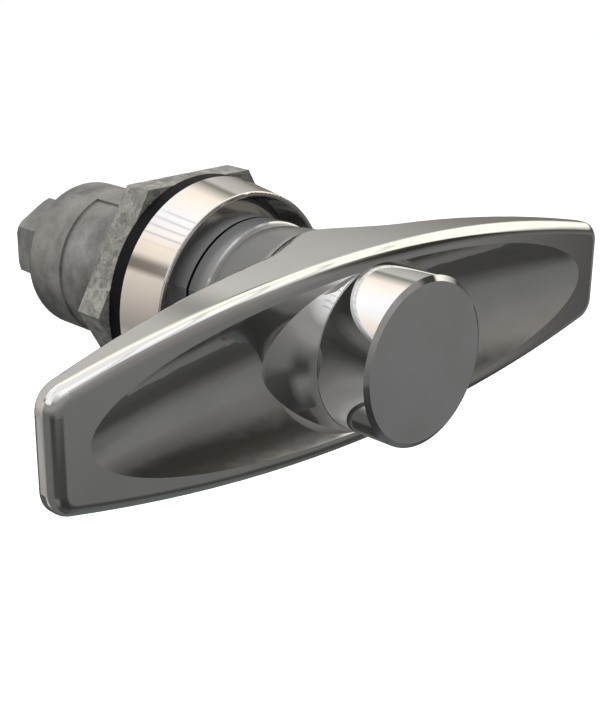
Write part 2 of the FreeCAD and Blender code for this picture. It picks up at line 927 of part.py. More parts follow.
def stop_pin():
    """The pin in the housing's head that limits the handle to a quarter turn."""
    body = new_body("stop_pin")
    sketch = cross_sketch(body, "pin_outline", size("pin_rear"))
    circle(sketch, 0.0, size("pin_circle"), size("pin_radius"))
    pad(body, "pin_rod", sketch, size("pin_rear") - size("pin_front"))
    bevel_edges(body, "pin_bevel", size("pin_bevel"),
                lambda point, edge: near(point.y, size("pin_front").value))
    return body


def build():
    """Builds every sub-part in the order of assembly."""
    fill_sheet()
    return [
        housing(),
        collar(),
        panel_gasket(),
        panel_nut(),
        hub_seal(),
        stop_pin(),
        plain_ring("bearing_front", size("bearing_in"), size("bore_radius"),
                   size("bearing_seat"), size("bearing_front_end")),
        plain_ring("bearing_rear", size("bearing_in"), size("bore_radius"),
                   size("bearing_rear_start"), size("step_face")),
        plain_ring("thrust_washer", size("thrust_in"), size("thrust_out"),
                   size("step_face"), size("thrust_rear")),
        retaining_clip(),
        spindle(),
        shaft_oring("spindle_oring_front", size("shaft_ring_front")),
        shaft_oring("spindle_oring_rear", size("shaft_ring_rear")),
        disc_spring(),
        wing_handle(),
        handle_screw(),
        lock_washer(),
        cover_button(),
        button_oring(),
    ]


def check(subparts):
    """Stops the build when a feature failed or a solid is not sound."""
    for item in doc.Objects:
        if "Invalid" in item.State or "Error" in item.State:
            raise ValueError("%s: %s" % (item.Name, item.State))
    for item in subparts:
        shape = item.Shape
        if shape.isNull() or not shape.isValid() or len(shape.Solids) != 1:
            raise ValueError("%s is not one sound solid" % item.Label)


def main():
    """Builds, checks and writes one file for each sub-part."""
    subparts = build()
    doc.recompute()
    check(subparts)
    for item in subparts:
        item.Shape.exportStep("parts/%s.step" % item.Label)
        print("%-22s %10.1f mm3" % (item.Label, item.Shape.Volume))


main()
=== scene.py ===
"""Quarter-turn cam latch: finishes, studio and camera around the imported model.

Every solid of the latch comes from the frame as it is. This script dresses each of them,
builds the studio whose walls, window and white ceiling the polished metal mirrors, and
places the camera. All lengths are in metres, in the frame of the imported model: -Y is the
handle's side.
"""

import json
import logging
import math
from dataclasses import dataclass, field
from enum import Enum

import bpy
from mathutils import Matrix, Vector

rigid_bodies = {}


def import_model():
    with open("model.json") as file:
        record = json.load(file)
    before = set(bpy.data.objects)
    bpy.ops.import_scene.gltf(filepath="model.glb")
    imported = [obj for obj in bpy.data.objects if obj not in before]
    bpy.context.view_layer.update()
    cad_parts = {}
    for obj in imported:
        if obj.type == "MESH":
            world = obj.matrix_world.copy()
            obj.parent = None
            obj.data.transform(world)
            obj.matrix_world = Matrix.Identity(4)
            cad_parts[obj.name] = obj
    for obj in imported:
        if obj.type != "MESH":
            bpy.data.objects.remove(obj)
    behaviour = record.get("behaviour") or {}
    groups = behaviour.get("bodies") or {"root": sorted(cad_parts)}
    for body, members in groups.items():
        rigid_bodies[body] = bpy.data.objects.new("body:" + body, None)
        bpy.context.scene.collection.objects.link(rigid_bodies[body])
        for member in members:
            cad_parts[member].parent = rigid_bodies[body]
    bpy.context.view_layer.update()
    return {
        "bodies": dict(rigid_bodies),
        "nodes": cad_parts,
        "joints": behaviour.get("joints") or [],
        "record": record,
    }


Colour = tuple[float, float, float]
Stop = tuple[float, Colour]
Socket = bpy.types.NodeSocket

WHITE: Colour = (1.0, 1.0, 1.0)

log = logging.getLogger("latch")


class Effect(Enum):
    """Shader node groups that more than one finish uses."""

    HANDLING = "handling_haze"
    CLOUD = "cast_cloud"


class Body(Enum):
    """The two rigid bodies of the latch."""

    FIXED = "fixed"
    HANDLE = "handle"


class Part(Enum):
    """The parts of a mirrored direction that tell the cove's walls apart."""

    TURN = "angle round the vertical in radians, 0 towards the handle's side, rising to the right"
    ROUND = "angle round the latch's axis, as a share of a full turn"
    BACK = "how far it points to the panel's side, -1 to 1"
    HIGH = "how far it points up, -1 to 1"
    HEIGHT = "the same as a share, 0 at the foot and 1 at the top"
    WAVE = "where it falls between one slat and the next, 0 to 1"


def grey(level: float) -> Colour:
    """A colour with three equal parts."""
    return (level, level, level)


class Graph:
    """A small helper that adds and links shader nodes in one tree."""

    def __init__(self, tree: bpy.types.NodeTree) -> None:
        """Keeps the tree to work in.

        Args:
            tree: The node tree of a material, a world or a group.
        """
        self.tree = tree

    def add(self, kind: str, **values: object) -> bpy.types.Node:
        """Adds a node and sets its properties.

        Args:
            kind: Blender's node type name.
            values: Properties of the node by name.

        Returns:
            The new node.
        """
        node = self.tree.nodes.new(kind)
        for name, value in values.items():
            setattr(node, name, value)
        return node

    def join(self, source: Socket, target: Socket) -> None:
        """Links an output to an input."""
        self.tree.links.new(source, target)

    def feed(self, target: Socket, value: Socket | Colour | float) -> None:
        """Links an input to a socket, or sets it to a colour or a number.

        Args:
            target: The input.
            value: A socket, a colour or a number.
        """
        if isinstance(value, Socket):
            self.join(value, target)
        elif isinstance(value, tuple):
            target.default_value = (*value, 1.0)
        else:
            target.default_value = value

    def group(self, tree: bpy.types.NodeTree, **values: Socket | Colour | float) -> bpy.types.Node:
        """Places a shared group with its own values.

        Args:
            tree: The group's node tree.
            values: What its inputs get, by name.

        Returns:
            The group's node.
        """
        node = self.add("ShaderNodeGroup", node_tree=tree)
        for name, value in values.items():
            self.feed(node.inputs[name], value)
        return node

    def own_place(self) -> Socket:
        """The place in the object's own coordinates."""
        return self.add("ShaderNodeTexCoord").outputs["Object"]

    def split(self, vector: Socket) -> bpy.types.bpy_prop_collection:
        """Splits a vector into its three parts.

        Args:
            vector: The vector.

        Returns:
            The X, Y and Z outputs.
        """
        node = self.add("ShaderNodeSeparateXYZ")
        self.join(vector, node.inputs[0])
        return node.outputs

    def stretched(self, vector: Socket, scale: tuple[float, float, float],
                  turn: tuple[float, float, float] = (0.0, 0.0, 0.0)) -> Socket:
        """Scales and turns texture coordinates.

        Args:
            vector: The coordinates.
            scale: The scale along each axis.
            turn: The turn about each axis in radians.

        Returns:
            The changed coordinates.
        """
        node = self.add("ShaderNodeMapping")
        node.inputs["Scale"].default_value = scale
        node.inputs["Rotation"].default_value = turn
        self.join(vector, node.inputs["Vector"])
        return node.outputs[0]

    def maths(self, operation: str, first: Socket | float, second: Socket | float = 0.0) -> Socket:
        """A Math node on sockets or numbers.

        Args:
            operation: The Math node's operation.
            first: A socket or a number.
            second: A socket or a number.

        Returns:
            The node's value output.
        """
        node = self.add("ShaderNodeMath", operation=operation)
        self.feed(node.inputs[0], first)
        self.feed(node.inputs[1], second)
        return node.outputs[0]

    def product(self, *factors: Socket | float) -> Socket | float:
        """Multiplies two or more factors.

        Args:
            factors: Sockets or numbers.

        Returns:
            Their product.
        """
        total = factors[0]
        for factor in factors[1:]:
            total = self.maths("MULTIPLY", total, factor)
        return total

    def spread(self, value: Socket, low: float, high: float,
               to_low: float = 0.0, to_high: float = 1.0) -> Socket:
        """Maps a value from one range to another, clamped.

        Args:
            value: The socket to map.
            low: Where the input range starts.
            high: Where the input range ends.
            to_low: The result at low.
            to_high: The result at high.

        Returns:
            The mapped value.
        """
        node = self.add("ShaderNodeMapRange")
        self.join(value, node.inputs["Value"])
        node.inputs["From Min"].default_value = low
        node.inputs["From Max"].default_value = high
        node.inputs["To Min"].default_value = to_low
        node.inputs["To Max"].default_value = to_high
        return node.outputs["Result"]

    def blend(self, factor: Socket, first: Socket | Colour, second: Socket | Colour) -> Socket:
        """Mixes two colours by a factor.

        Args:
            factor: The mixing factor.
            first: A colour, or a colour socket, at factor 0.
            second: A colour, or a colour socket, at factor 1.

        Returns:
            The mixed colour.
        """
        node = self.add("ShaderNodeMix", data_type="RGBA")
        self.join(factor, node.inputs[0])
        self.feed(node.inputs[6], first)
        self.feed(node.inputs[7], second)
        return node.outputs[2]

    def tinted(self, colour: Socket, tint: Socket) -> Socket:
        """Multiplies two colours.

        Args:
            colour: The first colour.
            tint: The second colour.

        Returns:
            Their product.
        """
        node = self.add("ShaderNodeMix", data_type="RGBA", blend_type="MULTIPLY")
        node.inputs[0].default_value = 1.0
        self.join(colour, node.inputs[6])
        self.join(tint, node.inputs[7])
        return node.outputs[2]

    def between(self, factor: Socket, first: Socket | float, second: Socket | float) -> Socket:
        """Mixes two values by a factor.

        Args:
            factor: The mixing factor.
            first: A number, or a value socket, at factor 0.
            second: A number, or a value socket, at factor 1.

        Returns:
            The mixed value.
        """
        node = self.add("ShaderNodeMix", data_type="FLOAT")
        self.join(factor, node.inputs[0])
        self.feed(node.inputs[2], first)
        self.feed(node.inputs[3], second)
        return node.outputs[0]

    def noise(self, vector: Socket, scale: Socket | float, detail: float = 3.0, rough: float = 0.5) -> Socket:
        """A noise texture's value.

        Args:
            vector: The place to read it at.
            scale: Its scale, a number or a socket.
            detail: Its number of octaves.
            rough: How strong the finer octaves are.

        Returns:
            The noise value, about 0.5 in the middle.
        """
        node = self.add("ShaderNodeTexNoise")
        self.join(vector, node.inputs["Vector"])
        self.feed(node.inputs["Scale"], scale)
        node.inputs["Detail"].default_value = detail
        node.inputs["Roughness"].default_value = rough
        return node.outputs[0]

    def ramp(self, value: Socket, stops: tuple[Stop, ...]) -> Socket:
        """A colour ramp.

        Args:
            value: The place on the ramp.
            stops: Its places and colours in order.

        Returns:
            The colour output.
        """
        node = self.add("ShaderNodeValToRGB")
        line = node.color_ramp
        while len(line.elements) < len(stops):
            line.elements.new(0.5)
        for element, (place, colour) in zip(line.elements, stops):
            element.position = place
            element.color = (*colour, 1.0)
        self.join(value, node.inputs[0])
        return node.outputs[0]

    def looked_at(self) -> Socket:
        """Tells rays that make a picture from rays that only bring light.

        Returns:
            1 for what is seen straight, mirrored or through glass, and 0 otherwise.
        """
        rays = self.add("ShaderNodeLightPath")
        seen = self.maths("MAXIMUM", rays.outputs["Is Camera Ray"], rays.outputs["Is Glossy Ray"])
        return self.maths("MAXIMUM", seen, rays.outputs["Is Transmission Ray"])

    def surface(self, factor: Socket, plain: Socket, seen: Socket, output: str) -> None:
        """Ends the tree with two shaders mixed by a factor.

        Args:
            factor: The mixing factor.
            plain: The shader at factor 0.
            seen: The shader at factor 1.
            output: The output node's type name.
        """
        mix = self.add("ShaderNodeMixShader")
        self.join(factor, mix.inputs[0])
        self.join(plain, mix.inputs[1])
        self.join(seen, mix.inputs[2])
        self.join(mix.outputs[0], self.add(output).inputs["Surface"])


def bare_material(name: str) -> tuple[bpy.types.Material, Graph]:
    """Makes a material with an empty node tree.

    Args:
        name: The material's name.

    Returns:
        The material and its graph.
    """
    material = bpy.data.materials.new(name)
    material.use_nodes = True
    material.node_tree.nodes.clear()
    return material, Graph(material.node_tree)


def placed(name: str, data: bpy.types.ID) -> bpy.types.Object:
    """Makes an object and links it to the scene.

    Args:
        name: The object's name.
        data: Its mesh, light or camera.

    Returns:
        The object.
    """
    thing = bpy.data.objects.new(name, data)
    bpy.context.scene.collection.objects.link(thing)
    return thing


class Groups:
    """Builds each shared shader group once and hands it out."""

    HAIR_ROUGHNESS = 0.035
    HAIR_HEIGHT = -0.6
    GRAIN_HEIGHT = 0.25
    STAIN_SCALE = 0.55
    BROAD_HEIGHT = 0.4

    def __init__(self) -> None:
        """Starts with no group built."""
        self.made: dict[Effect, bpy.types.NodeTree] = {}

    def get(self, effect: Effect) -> bpy.types.NodeTree:
        """The group of that effect, built on its first use.

        Args:
            effect: Which effect.

        Returns:
            The shared node tree.
        """
        if effect not in self.made:
            maker = {Effect.HANDLING: self.handling, Effect.CLOUD: self.cloud}[effect]
            self.made[effect] = maker()
        return self.made[effect]

    @staticmethod
    def start(effect: Effect, numbers: dict[str, float], colours: dict[str, Colour],
              out_colours: tuple[str, ...], out_numbers: tuple[str, ...]) -> tuple[Graph, object, object]:
        """Makes an empty group with its sockets.

        Args:
            effect: The effect it is for.
            numbers: Value inputs and their defaults.
            colours: Colour inputs and their defaults.
            out_colours: Names of the colour outputs.
            out_numbers: Names of the value outputs.

        Returns:
            The graph, the group's inputs and its output node's sockets.
        """
        tree = bpy.data.node_groups.new(effect.value, "ShaderNodeTree")
        for name, value in numbers.items():
            socket = tree.interface.new_socket(name, in_out="INPUT", socket_type="NodeSocketFloat")
            socket.default_value = value
        for name, value in colours.items():
            socket = tree.interface.new_socket(name, in_out="INPUT", socket_type="NodeSocketColor")
            socket.default_value = (*value, 1.0)
        for name in out_colours:
            tree.interface.new_socket(name, in_out="OUTPUT", socket_type="NodeSocketColor")
        for name in out_numbers:
            tree.interface.new_socket(name, in_out="OUTPUT", socket_type="NodeSocketFloat")
        graph = Graph(tree)
        enter = graph.add("NodeGroupInput")
        leave = graph.add("NodeGroupOutput")
        return graph, enter.outputs, leave.inputs

    def handling(self) -> bpy.types.NodeTree:
        """Faint haze and hair-fine scratches on polished metal.

        Returns:
            The group, with outputs Roughness, Tone and Height.
        """
        graph, enter, leave = self.start(
            Effect.HANDLING, {"Roughness": 0.06, "Haze": 0.05, "Scratches": 1.0}, {},
            (), ("Roughness", "Tone", "Height"))
        place = graph.own_place()
        smudge = graph.noise(place, scale=95.0, detail=3.0, rough=0.55)
        grain = graph.noise(place, scale=900.0, detail=2.0, rough=0.6)
        streaks = graph.stretched(place, scale=(260.0, 2600.0, 3600.0), turn=(0.3, 0.2, 0.5))
        hair = graph.spread(graph.noise(streaks, scale=1.0, detail=2.0, rough=0.7), 0.60, 0.78)
        hair = graph.product(hair, enter["Scratches"])
        film = graph.spread(smudge, 0.42, 0.72)
        added = graph.maths("ADD", graph.product(film, enter["Haze"]),
                            graph.product(hair, self.HAIR_ROUGHNESS))
        height = graph.maths("ADD", graph.product(grain, self.GRAIN_HEIGHT),
                             graph.product(hair, self.HAIR_HEIGHT))
        graph.join(graph.maths("ADD", enter["Roughness"], added), leave["Roughness"])
        graph.join(film, leave["Tone"])
        graph.join(height, leave["Height"])
        return graph.tree

    def cloud(self) -> bpy.types.NodeTree:
        """The cloudy, streaked skin of unpolished zinc castings.

        Returns:
            The group, with outputs Colour, Roughness and Height.
        """
        graph, enter, leave = self.start(
            Effect.CLOUD, {"Scale": 160.0, "Grit": 2200.0},
            {"Dark": grey(0.10), "Light": (0.30, 0.30, 0.29), "Stain": (0.22, 0.19, 0.17)},
            ("Colour",), ("Roughness", "Height"))
        place = graph.own_place()
        broad = graph.noise(place, enter["Scale"], detail=4.0, rough=0.6)
        patch = graph.noise(place, graph.product(enter["Scale"], self.STAIN_SCALE), detail=2.0, rough=0.5)
        grit = graph.noise(place, enter["Grit"], detail=3.0, rough=0.65)
        base = graph.blend(graph.spread(broad, 0.36, 0.66), enter["Dark"], enter["Light"])
        warm = graph.blend(graph.spread(patch, 0.52, 0.70, 0.0, 0.55), base, enter["Stain"])
        fleck = graph.blend(graph.spread(grit, 0.30, 0.46, 0.35, 0.0), warm, enter["Dark"])
        graph.join(fleck, leave["Colour"])
        graph.join(graph.spread(broad, 0.3, 0.7, 0.46, 0.30), leave["Roughness"])
        graph.join(graph.maths("ADD", grit, graph.product(broad, self.BROAD_HEIGHT)), leave["Height"])
        return graph.tree


@dataclass(frozen=True)
class Finish:
    """What every finish has: its material slot's name and how deep its surface relief is."""

    slot: str
    relief: float = 0.02
    relief_depth: float = 0.00002

    def start(self) -> tuple[bpy.types.Material, Graph, bpy.types.Node]:
        """An empty material with a Principled shader.

        Returns:
            The material, its graph and the shader node.
        """
        material, graph = bare_material(self.slot)
        shader = graph.add("ShaderNodeBsdfPrincipled")
        graph.join(shader.outputs[0], graph.add("ShaderNodeOutputMaterial").inputs["Surface"])
        return material, graph, shader

    def bump(self, graph: Graph, shader: bpy.types.Node, height: Socket) -> None:
        """Feeds a height into the shader's normal.

        Args:
            graph: The material's graph.
            shader: The Principled node.
            height: The height value.
        """
        node = graph.add("ShaderNodeBump")
        node.inputs["Strength"].default_value = self.relief
        node.inputs["Distance"].default_value = self.relief_depth
        graph.join(height, node.inputs["Height"])
        graph.join(node.outputs[0], shader.inputs["Normal"])

    def material(self, groups: Groups) -> bpy.types.Material:
        """Builds the material, which each finish does in its own way."""
        raise NotImplementedError(self.slot)


@dataclass(frozen=True)
class PolishedChrome(Finish):
    """Bright plating over polished zinc."""

    tone: Colour = (0.80, 0.795, 0.78)
    film: Colour = (0.74, 0.735, 0.72)
    roughness: float = 0.05
    haze: float = 0.03
    scratches: float = 1.0

    def wear(self, graph: Graph, groups: Groups) -> bpy.types.Node:
        """Adds the handling haze in this finish's strength.

        Args:
            graph: The material's graph.
            groups: The shared shader groups.

        Returns:
            The haze's group node.
        """
        return graph.group(groups.get(Effect.HANDLING), Roughness=self.roughness, Haze=self.haze,
                           Scratches=self.scratches)

    def material(self, groups: Groups) -> bpy.types.Material:
        """Builds the material.

        Args:
            groups: The shared shader groups.

        Returns:
            The finished material.
        """
        material, graph, shader = self.start()
        wear = self.wear(graph, groups)
        graph.join(graph.blend(wear.outputs["Tone"], self.tone, self.film), shader.inputs["Base Color"])
        shader.inputs["Metallic"].default_value = 1.0
        graph.join(wear.outputs["Roughness"], shader.inputs["Roughness"])
        self.bump(graph, shader, wear.outputs["Height"])
        return material


@dataclass(frozen=True)
class WingChrome(PolishedChrome):
    """The handle's plating: bright on the wing, satin on the ring and the neck behind it.

    The places are along the latch's axis: the ring's rear face, its front edge, and the
    neck's two ends. Behind the ring's rear face the gap to the housing's head gets a painted shade.
    """

    satin: Colour = (0.30, 0.305, 0.305)
    # the neck's tone: satin finish, darkened further as painted shade of its recess behind the wing
    neck_satin_and_shade: Colour = (0.19, 0.192, 0.188)
    satin_roughness: float = 0.22
    sheen: float = 0.60
    # painted shade: a near-black colour for the gap behind the ring's rear face
    gap_painted_shade: Colour = grey(0.015)
    ring_rear: float = -0.0103
    ring_front: float = -0.01308
    neck_rear: float = -0.01328
    neck_front: float = -0.0215
    neck_fade: float = 0.0015
    neck_share: float = 0.90
    blur: float = 0.0001
    gap_shade_blur: float = 0.00003

    def material(self, groups: Groups) -> bpy.types.Material:
        """Builds the material.

        Args:
            groups: The shared shader groups.

        Returns:
            The finished material.
        """
        material, graph, shader = self.start()
        wear = self.wear(graph, groups)
        depth = graph.split(graph.own_place())[1]
        ring = graph.spread(depth, self.ring_front - self.blur, self.ring_front + self.blur)
        neck = graph.spread(depth, self.neck_front, self.neck_front + self.neck_fade, 0.0, self.neck_share)
        step = graph.spread(depth, self.neck_rear - self.blur, self.neck_rear + self.blur, 1.0, 0.0)
        matt = graph.maths("MAXIMUM", ring, graph.product(neck, step))
        bright = graph.blend(wear.outputs["Tone"], self.tone, self.film)
        # mask of the painted shade in the gap behind the ring's rear face
        gap_shade_mask = graph.spread(depth, self.ring_rear, self.ring_rear + self.gap_shade_blur)
        # the neck's darker tone is partly satin finish and partly painted shade
        tone = graph.blend(matt, bright, graph.blend(ring, self.neck_satin_and_shade, self.satin))
        graph.join(graph.blend(gap_shade_mask, tone, self.gap_painted_shade), shader.inputs["Base Color"])
        graph.join(graph.spread(matt, 0.0, 1.0, 1.0, self.sheen), shader.inputs["Metallic"])
        graph.join(graph.between(matt, wear.outputs["Roughness"], self.satin_roughness),
                   shader.inputs["Roughness"])
        self.bump(graph, shader, wear.outputs["Height"])
        return material


@dataclass(frozen=True)
class CastZinc(Finish):
    """Unpolished cast zinc with a dull, cloudy skin."""

    relief: float = 0.25
    relief_depth: float = 0.00005
    dark: Colour = (0.16, 0.16, 0.155)
    light: Colour = (0.36, 0.36, 0.35)
    stain: Colour = (0.26, 0.235, 0.22)
    scale: float = 170.0
    metallic: float = 0.75

    def skin(self, graph: Graph, groups: Groups) -> bpy.types.Node:
        """Adds the cloudy skin in this finish's colours.

        Args:
            graph: The material's graph.
            groups: The shared shader groups.

        Returns:
            The skin's group node.
        """
        return graph.group(groups.get(Effect.CLOUD), Scale=self.scale, Dark=self.dark, Light=self.light,
                           Stain=self.stain)

    def material(self, groups: Groups) -> bpy.types.Material:
        """Builds the material.

        Args:
            groups: The shared shader groups.

        Returns:
            The finished material.
        """
        material, graph, shader = self.start()
        skin = self.skin(graph, groups)
        graph.join(skin.outputs["Colour"], shader.inputs["Base Color"])
        shader.inputs["Metallic"].default_value = self.metallic
        graph.join(skin.outputs["Roughness"], shader.inputs["Roughness"])
        self.bump(graph, shader, skin.outputs["Height"])
        return material


@dataclass(frozen=True)
class PlatedCasting(CastZinc):
    """Cast zinc whose head in front of the collar is polished and plated.

    The places are along the latch's axis: the head's front face, before which the gap to
    the handle's ring gets a painted shade, and the edge where the plating ends.
    """

    plating: Colour = (0.34, 0.345, 0.345)
    gloss: float = 0.22
    sheen: float = 0.55
    # painted shade: a near-black colour for the gap before the head's front face
    gap_painted_shade: Colour = grey(0.015)
    front: float = -0.0098
    edge: float = -0.0040
    blur: float = 0.0002
    gap_shade_blur: float = 0.00003

    def material(self, groups: Groups) -> bpy.types.Material:
        """Builds the material.

        Args:
            groups: The shared shader groups.

        Returns:
            The finished material.
        """
        material, graph, shader = self.start()
        skin = self.skin(graph, groups)
        wear = graph.group(groups.get(Effect.HANDLING), Roughness=self.gloss)
        depth = graph.split(graph.own_place())[1]
        plated = graph.spread(depth, self.edge - self.blur, self.edge + self.blur, 1.0, 0.0)
        # mask of the painted shade in the gap before the head's front face
        gap_shade_mask = graph.spread(depth, self.front - self.gap_shade_blur, self.front, 1.0, 0.0)
        tone = graph.blend(plated, skin.outputs["Colour"], self.plating)
        graph.join(graph.blend(gap_shade_mask, tone, self.gap_painted_shade), shader.inputs["Base Color"])
        graph.join(graph.spread(plated, 0.0, 1.0, self.metallic, self.sheen), shader.inputs["Metallic"])
        graph.join(graph.between(plated, skin.outputs["Roughness"], wear.outputs["Roughness"]),
                   shader.inputs["Roughness"])
        self.bump(graph, shader, graph.between(plated, skin.outputs["Height"], 0.0))
        return material


@dataclass(frozen=True)
class Galvanised(Finish):
    """Hot-dipped zinc with its frosted spangle: shifted cells, speckle and broad clouds."""

    relief: float = 0.25
    relief_depth: float = 0.00006
    dark: Colour = (0.17, 0.17, 0.155)
    light: Colour = (0.50, 0.495, 0.46)
    metallic: float = 0.7
    smooth: float = 0.36
    rough: float = 0.56
    crystal: float = 900.0
    shift_scale: float = 500.0
    shift_reach: float = 0.0012
    speckle: float = 1900.0
    cloud: float = 130.0
    crystal_share: float = 0.34
    speckle_share: float = 0.9
    cloud_share: float = 0.35

    def crystals(self, graph: Graph, place: Socket) -> bpy.types.bpy_prop_collection:
        """The spangle's cells, their edges bent by a fine noise.

        Args:
            graph: The material's graph.
            place: The place on the surface.

        Returns:
            Three random values for each cell.
        """
        warp = graph.add("ShaderNodeTexNoise")
        warp.inputs["Scale"].default_value = self.shift_scale
        graph.join(place, warp.inputs["Vector"])
        shift = graph.add("ShaderNodeVectorMath", operation="MULTIPLY_ADD")
        shift.inputs[1].default_value = (self.shift_reach, self.shift_reach, self.shift_reach)
        graph.join(warp.outputs["Color"], shift.inputs[0])
        graph.join(place, shift.inputs[2])
        cells = graph.add("ShaderNodeTexVoronoi")
        cells.inputs["Scale"].default_value = self.crystal
        graph.join(shift.outputs[0], cells.inputs["Vector"])
        facet = graph.add("ShaderNodeSeparateColor")
        graph.join(cells.outputs["Color"], facet.inputs[0])
        return facet.outputs

    def material(self, groups: Groups) -> bpy.types.Material:
        """Builds the material.

        Args:
            groups: The shared shader groups; not used here.

        Returns:
            The finished material.
        """
        material, graph, shader = self.start()
        place = graph.own_place()
        facet = self.crystals(graph, place)
        fine = graph.noise(place, self.speckle, detail=4.0, rough=0.7)
        broad = graph.noise(place, self.cloud, detail=2.0, rough=0.5)
        shade = graph.maths("ADD", graph.product(facet[0], self.crystal_share),
                            graph.product(fine, self.speckle_share))
        shade = graph.maths("ADD", shade, graph.product(broad, self.cloud_share))
        tint = graph.blend(graph.spread(shade, 0.50, 1.05), self.dark, self.light)
        graph.join(tint, shader.inputs["Base Color"])
        shader.inputs["Metallic"].default_value = self.metallic
        graph.join(graph.spread(facet[1], 0.0, 1.0, self.smooth, self.rough), shader.inputs["Roughness"])
        self.bump(graph, shader, shade)
        return material


@dataclass(frozen=True)
class Rubber(Finish):
    """Black moulded rubber."""

    relief: float = 0.2
    relief_depth: float = 0.00003
    tone: Colour = (0.003, 0.003, 0.0035)
    bloom: Colour = (0.008, 0.008, 0.009)
    bloom_scale: float = 240.0
    grain_scale: float = 3500.0
    smooth: float = 0.55
    rough: float = 0.72
    shine: float = 0.15

    def material(self, groups: Groups) -> bpy.types.Material:
        """Builds the material.

        Args:
            groups: The shared shader groups; not used here.

        Returns:
            The finished material.
        """
        material, graph, shader = self.start()
        place = graph.own_place()
        film = graph.noise(place, self.bloom_scale, detail=3.0, rough=0.6)
        grain = graph.noise(place, self.grain_scale, detail=2.0, rough=0.5)
        tint = graph.blend(graph.spread(film, 0.4, 0.7), self.tone, self.bloom)
        graph.join(tint, shader.inputs["Base Color"])
        graph.join(graph.spread(film, 0.3, 0.7, self.smooth, self.rough), shader.inputs["Roughness"])
        shader.inputs["Specular IOR Level"].default_value = self.shine
        self.bump(graph, shader, grain)
        return material


@dataclass(frozen=True)
class TurnedMetal(Finish):
    """A turned or pressed metal piece with fine tool lines round the axis."""

    relief: float = 0.15
    tone: Colour = grey(0.48)
    shade: Colour = grey(0.36)
    film_scale: float = 300.0
    line_scale: tuple[float, float, float] = (120.0, 9000.0, 120.0)
    smooth: float = 0.24
    rough: float = 0.40

    def material(self, groups: Groups) -> bpy.types.Material:
        """Builds the material.

        Args:
            groups: The shared shader groups; not used here.

        Returns:
            The finished material.
        """
        material, graph, shader = self.start()
        place = graph.own_place()
        lines = graph.noise(graph.stretched(place, self.line_scale), scale=1.0, detail=2.0, rough=0.5)
        film = graph.noise(place, self.film_scale, detail=3.0, rough=0.6)
        tint = graph.blend(graph.spread(film, 0.35, 0.65), self.shade, self.tone)
        graph.join(tint, shader.inputs["Base Color"])
        shader.inputs["Metallic"].default_value = 1.0
        graph.join(graph.spread(lines, 0.3, 0.7, self.smooth, self.rough), shader.inputs["Roughness"])
        self.bump(graph, shader, lines)
        return material


class Dresser:
    """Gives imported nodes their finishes."""

    def __init__(self, nodes: dict[str, bpy.types.Object], groups: Groups) -> None:
        """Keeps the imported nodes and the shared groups.

        Args:
            nodes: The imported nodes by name.
            groups: The shared shader groups.
        """
        self.nodes = nodes
        self.groups = groups

    def dress(self, finish: Finish, *names: str) -> None:
        """Puts one finish on nodes.

        Args:
            finish: The finish to build.
            names: The nodes' names.
        """
        material = finish.material(self.groups)
        for name in names:
            node = self.nodes[name]
            if not node.material_slots:
                node.data.materials.append(material)
            for place in node.material_slots:
                place.material = material

    def leave_unmirrored(self, name: str) -> None:
        """Keeps a node out of the mirror images, as the photograph's smooth scoops show it."""
        self.nodes[name].visible_glossy = False


@dataclass
class PolishedHandle:
    """The wing handle and its button."""

    wing: WingChrome = WingChrome("wing_chrome")
    button: PolishedChrome = PolishedChrome("button_chrome", tone=grey(0.80), roughness=0.035)

    def build(self, dresser: Dresser) -> None:
        """Dresses the wing and the button.

        Args:
            dresser: What puts finishes on nodes.
        """
        dresser.dress(self.wing, "wing_handle")
        dresser.dress(self.button, "cover_button")
        dresser.leave_unmirrored("cover_button")


@dataclass
class PanelSide:
    """What sits against the panel: collar, gasket, nut and housing."""

    collar: PolishedChrome = PolishedChrome("collar_chrome", tone=(0.83, 0.80, 0.77), roughness=0.06)
    gasket: Rubber = Rubber("gasket_rubber")
    nut: Galvanised = Galvanised("galvanised_nut")
    housing: PlatedCasting = PlatedCasting("cast_zinc", dark=(0.20, 0.20, 0.195), light=(0.46, 0.455, 0.44),
                                           stain=(0.34, 0.31, 0.29))

    def build(self, dresser: Dresser) -> None:
        """Dresses the pieces round the panel.

        Args:
            dresser: What puts finishes on nodes.
        """
        dresser.dress(self.collar, "collar")
        dresser.dress(self.gasket, "panel_gasket")
        dresser.dress(self.nut, "panel_nut")
        dresser.dress(self.housing, "housing")


@dataclass
class InnerWorks:
    """The spindle and the small pieces round it."""

    spindle: CastZinc = CastZinc("spindle_zinc", dark=(0.20, 0.20, 0.195), light=(0.40, 0.40, 0.39),
                                 scale=230.0, metallic=0.85)
    seals: Rubber = Rubber("seal_rubber")
    sleeves: TurnedMetal = TurnedMetal("sleeve_bronze", tone=(0.60, 0.40, 0.20), shade=(0.42, 0.27, 0.13))
    steel: TurnedMetal = TurnedMetal("plain_steel")
    spring: TurnedMetal = TurnedMetal("spring_steel", tone=(0.20, 0.20, 0.21), shade=(0.10, 0.10, 0.11))

    def build(self, dresser: Dresser) -> None:
        """Dresses the spindle, sleeves, washers, clip, pin, screw and seals.

        Args:
            dresser: What puts finishes on nodes.
        """
        dresser.dress(self.spindle, "spindle")
        dresser.dress(self.seals, "hub_seal", "spindle_oring_front", "spindle_oring_rear", "button_oring")
        dresser.dress(self.sleeves, "bearing_front", "bearing_rear")
        dresser.dress(self.steel, "thrust_washer", "stop_pin", "handle_screw")
        dresser.dress(self.spring, "retaining_clip", "disc_spring", "lock_washer")


Ways = dict[Part, Socket]


@dataclass(frozen=True)
class Fade:
    """A mask that rises, or falls, along one part of the mirrored direction."""

    part: Part
    start: float
    end: float
    falling: bool = False

    def mask(self, graph: Graph, ways: Ways) -> Socket:
        """Builds the mask.

        Args:
            graph: The material's graph.
            ways: The parts of the direction.

        Returns:
            The mask.
        """
        near, far = (1.0, 0.0) if self.falling else (0.0, 1.0)
        return graph.spread(ways[self.part], self.start, self.end, near, far)


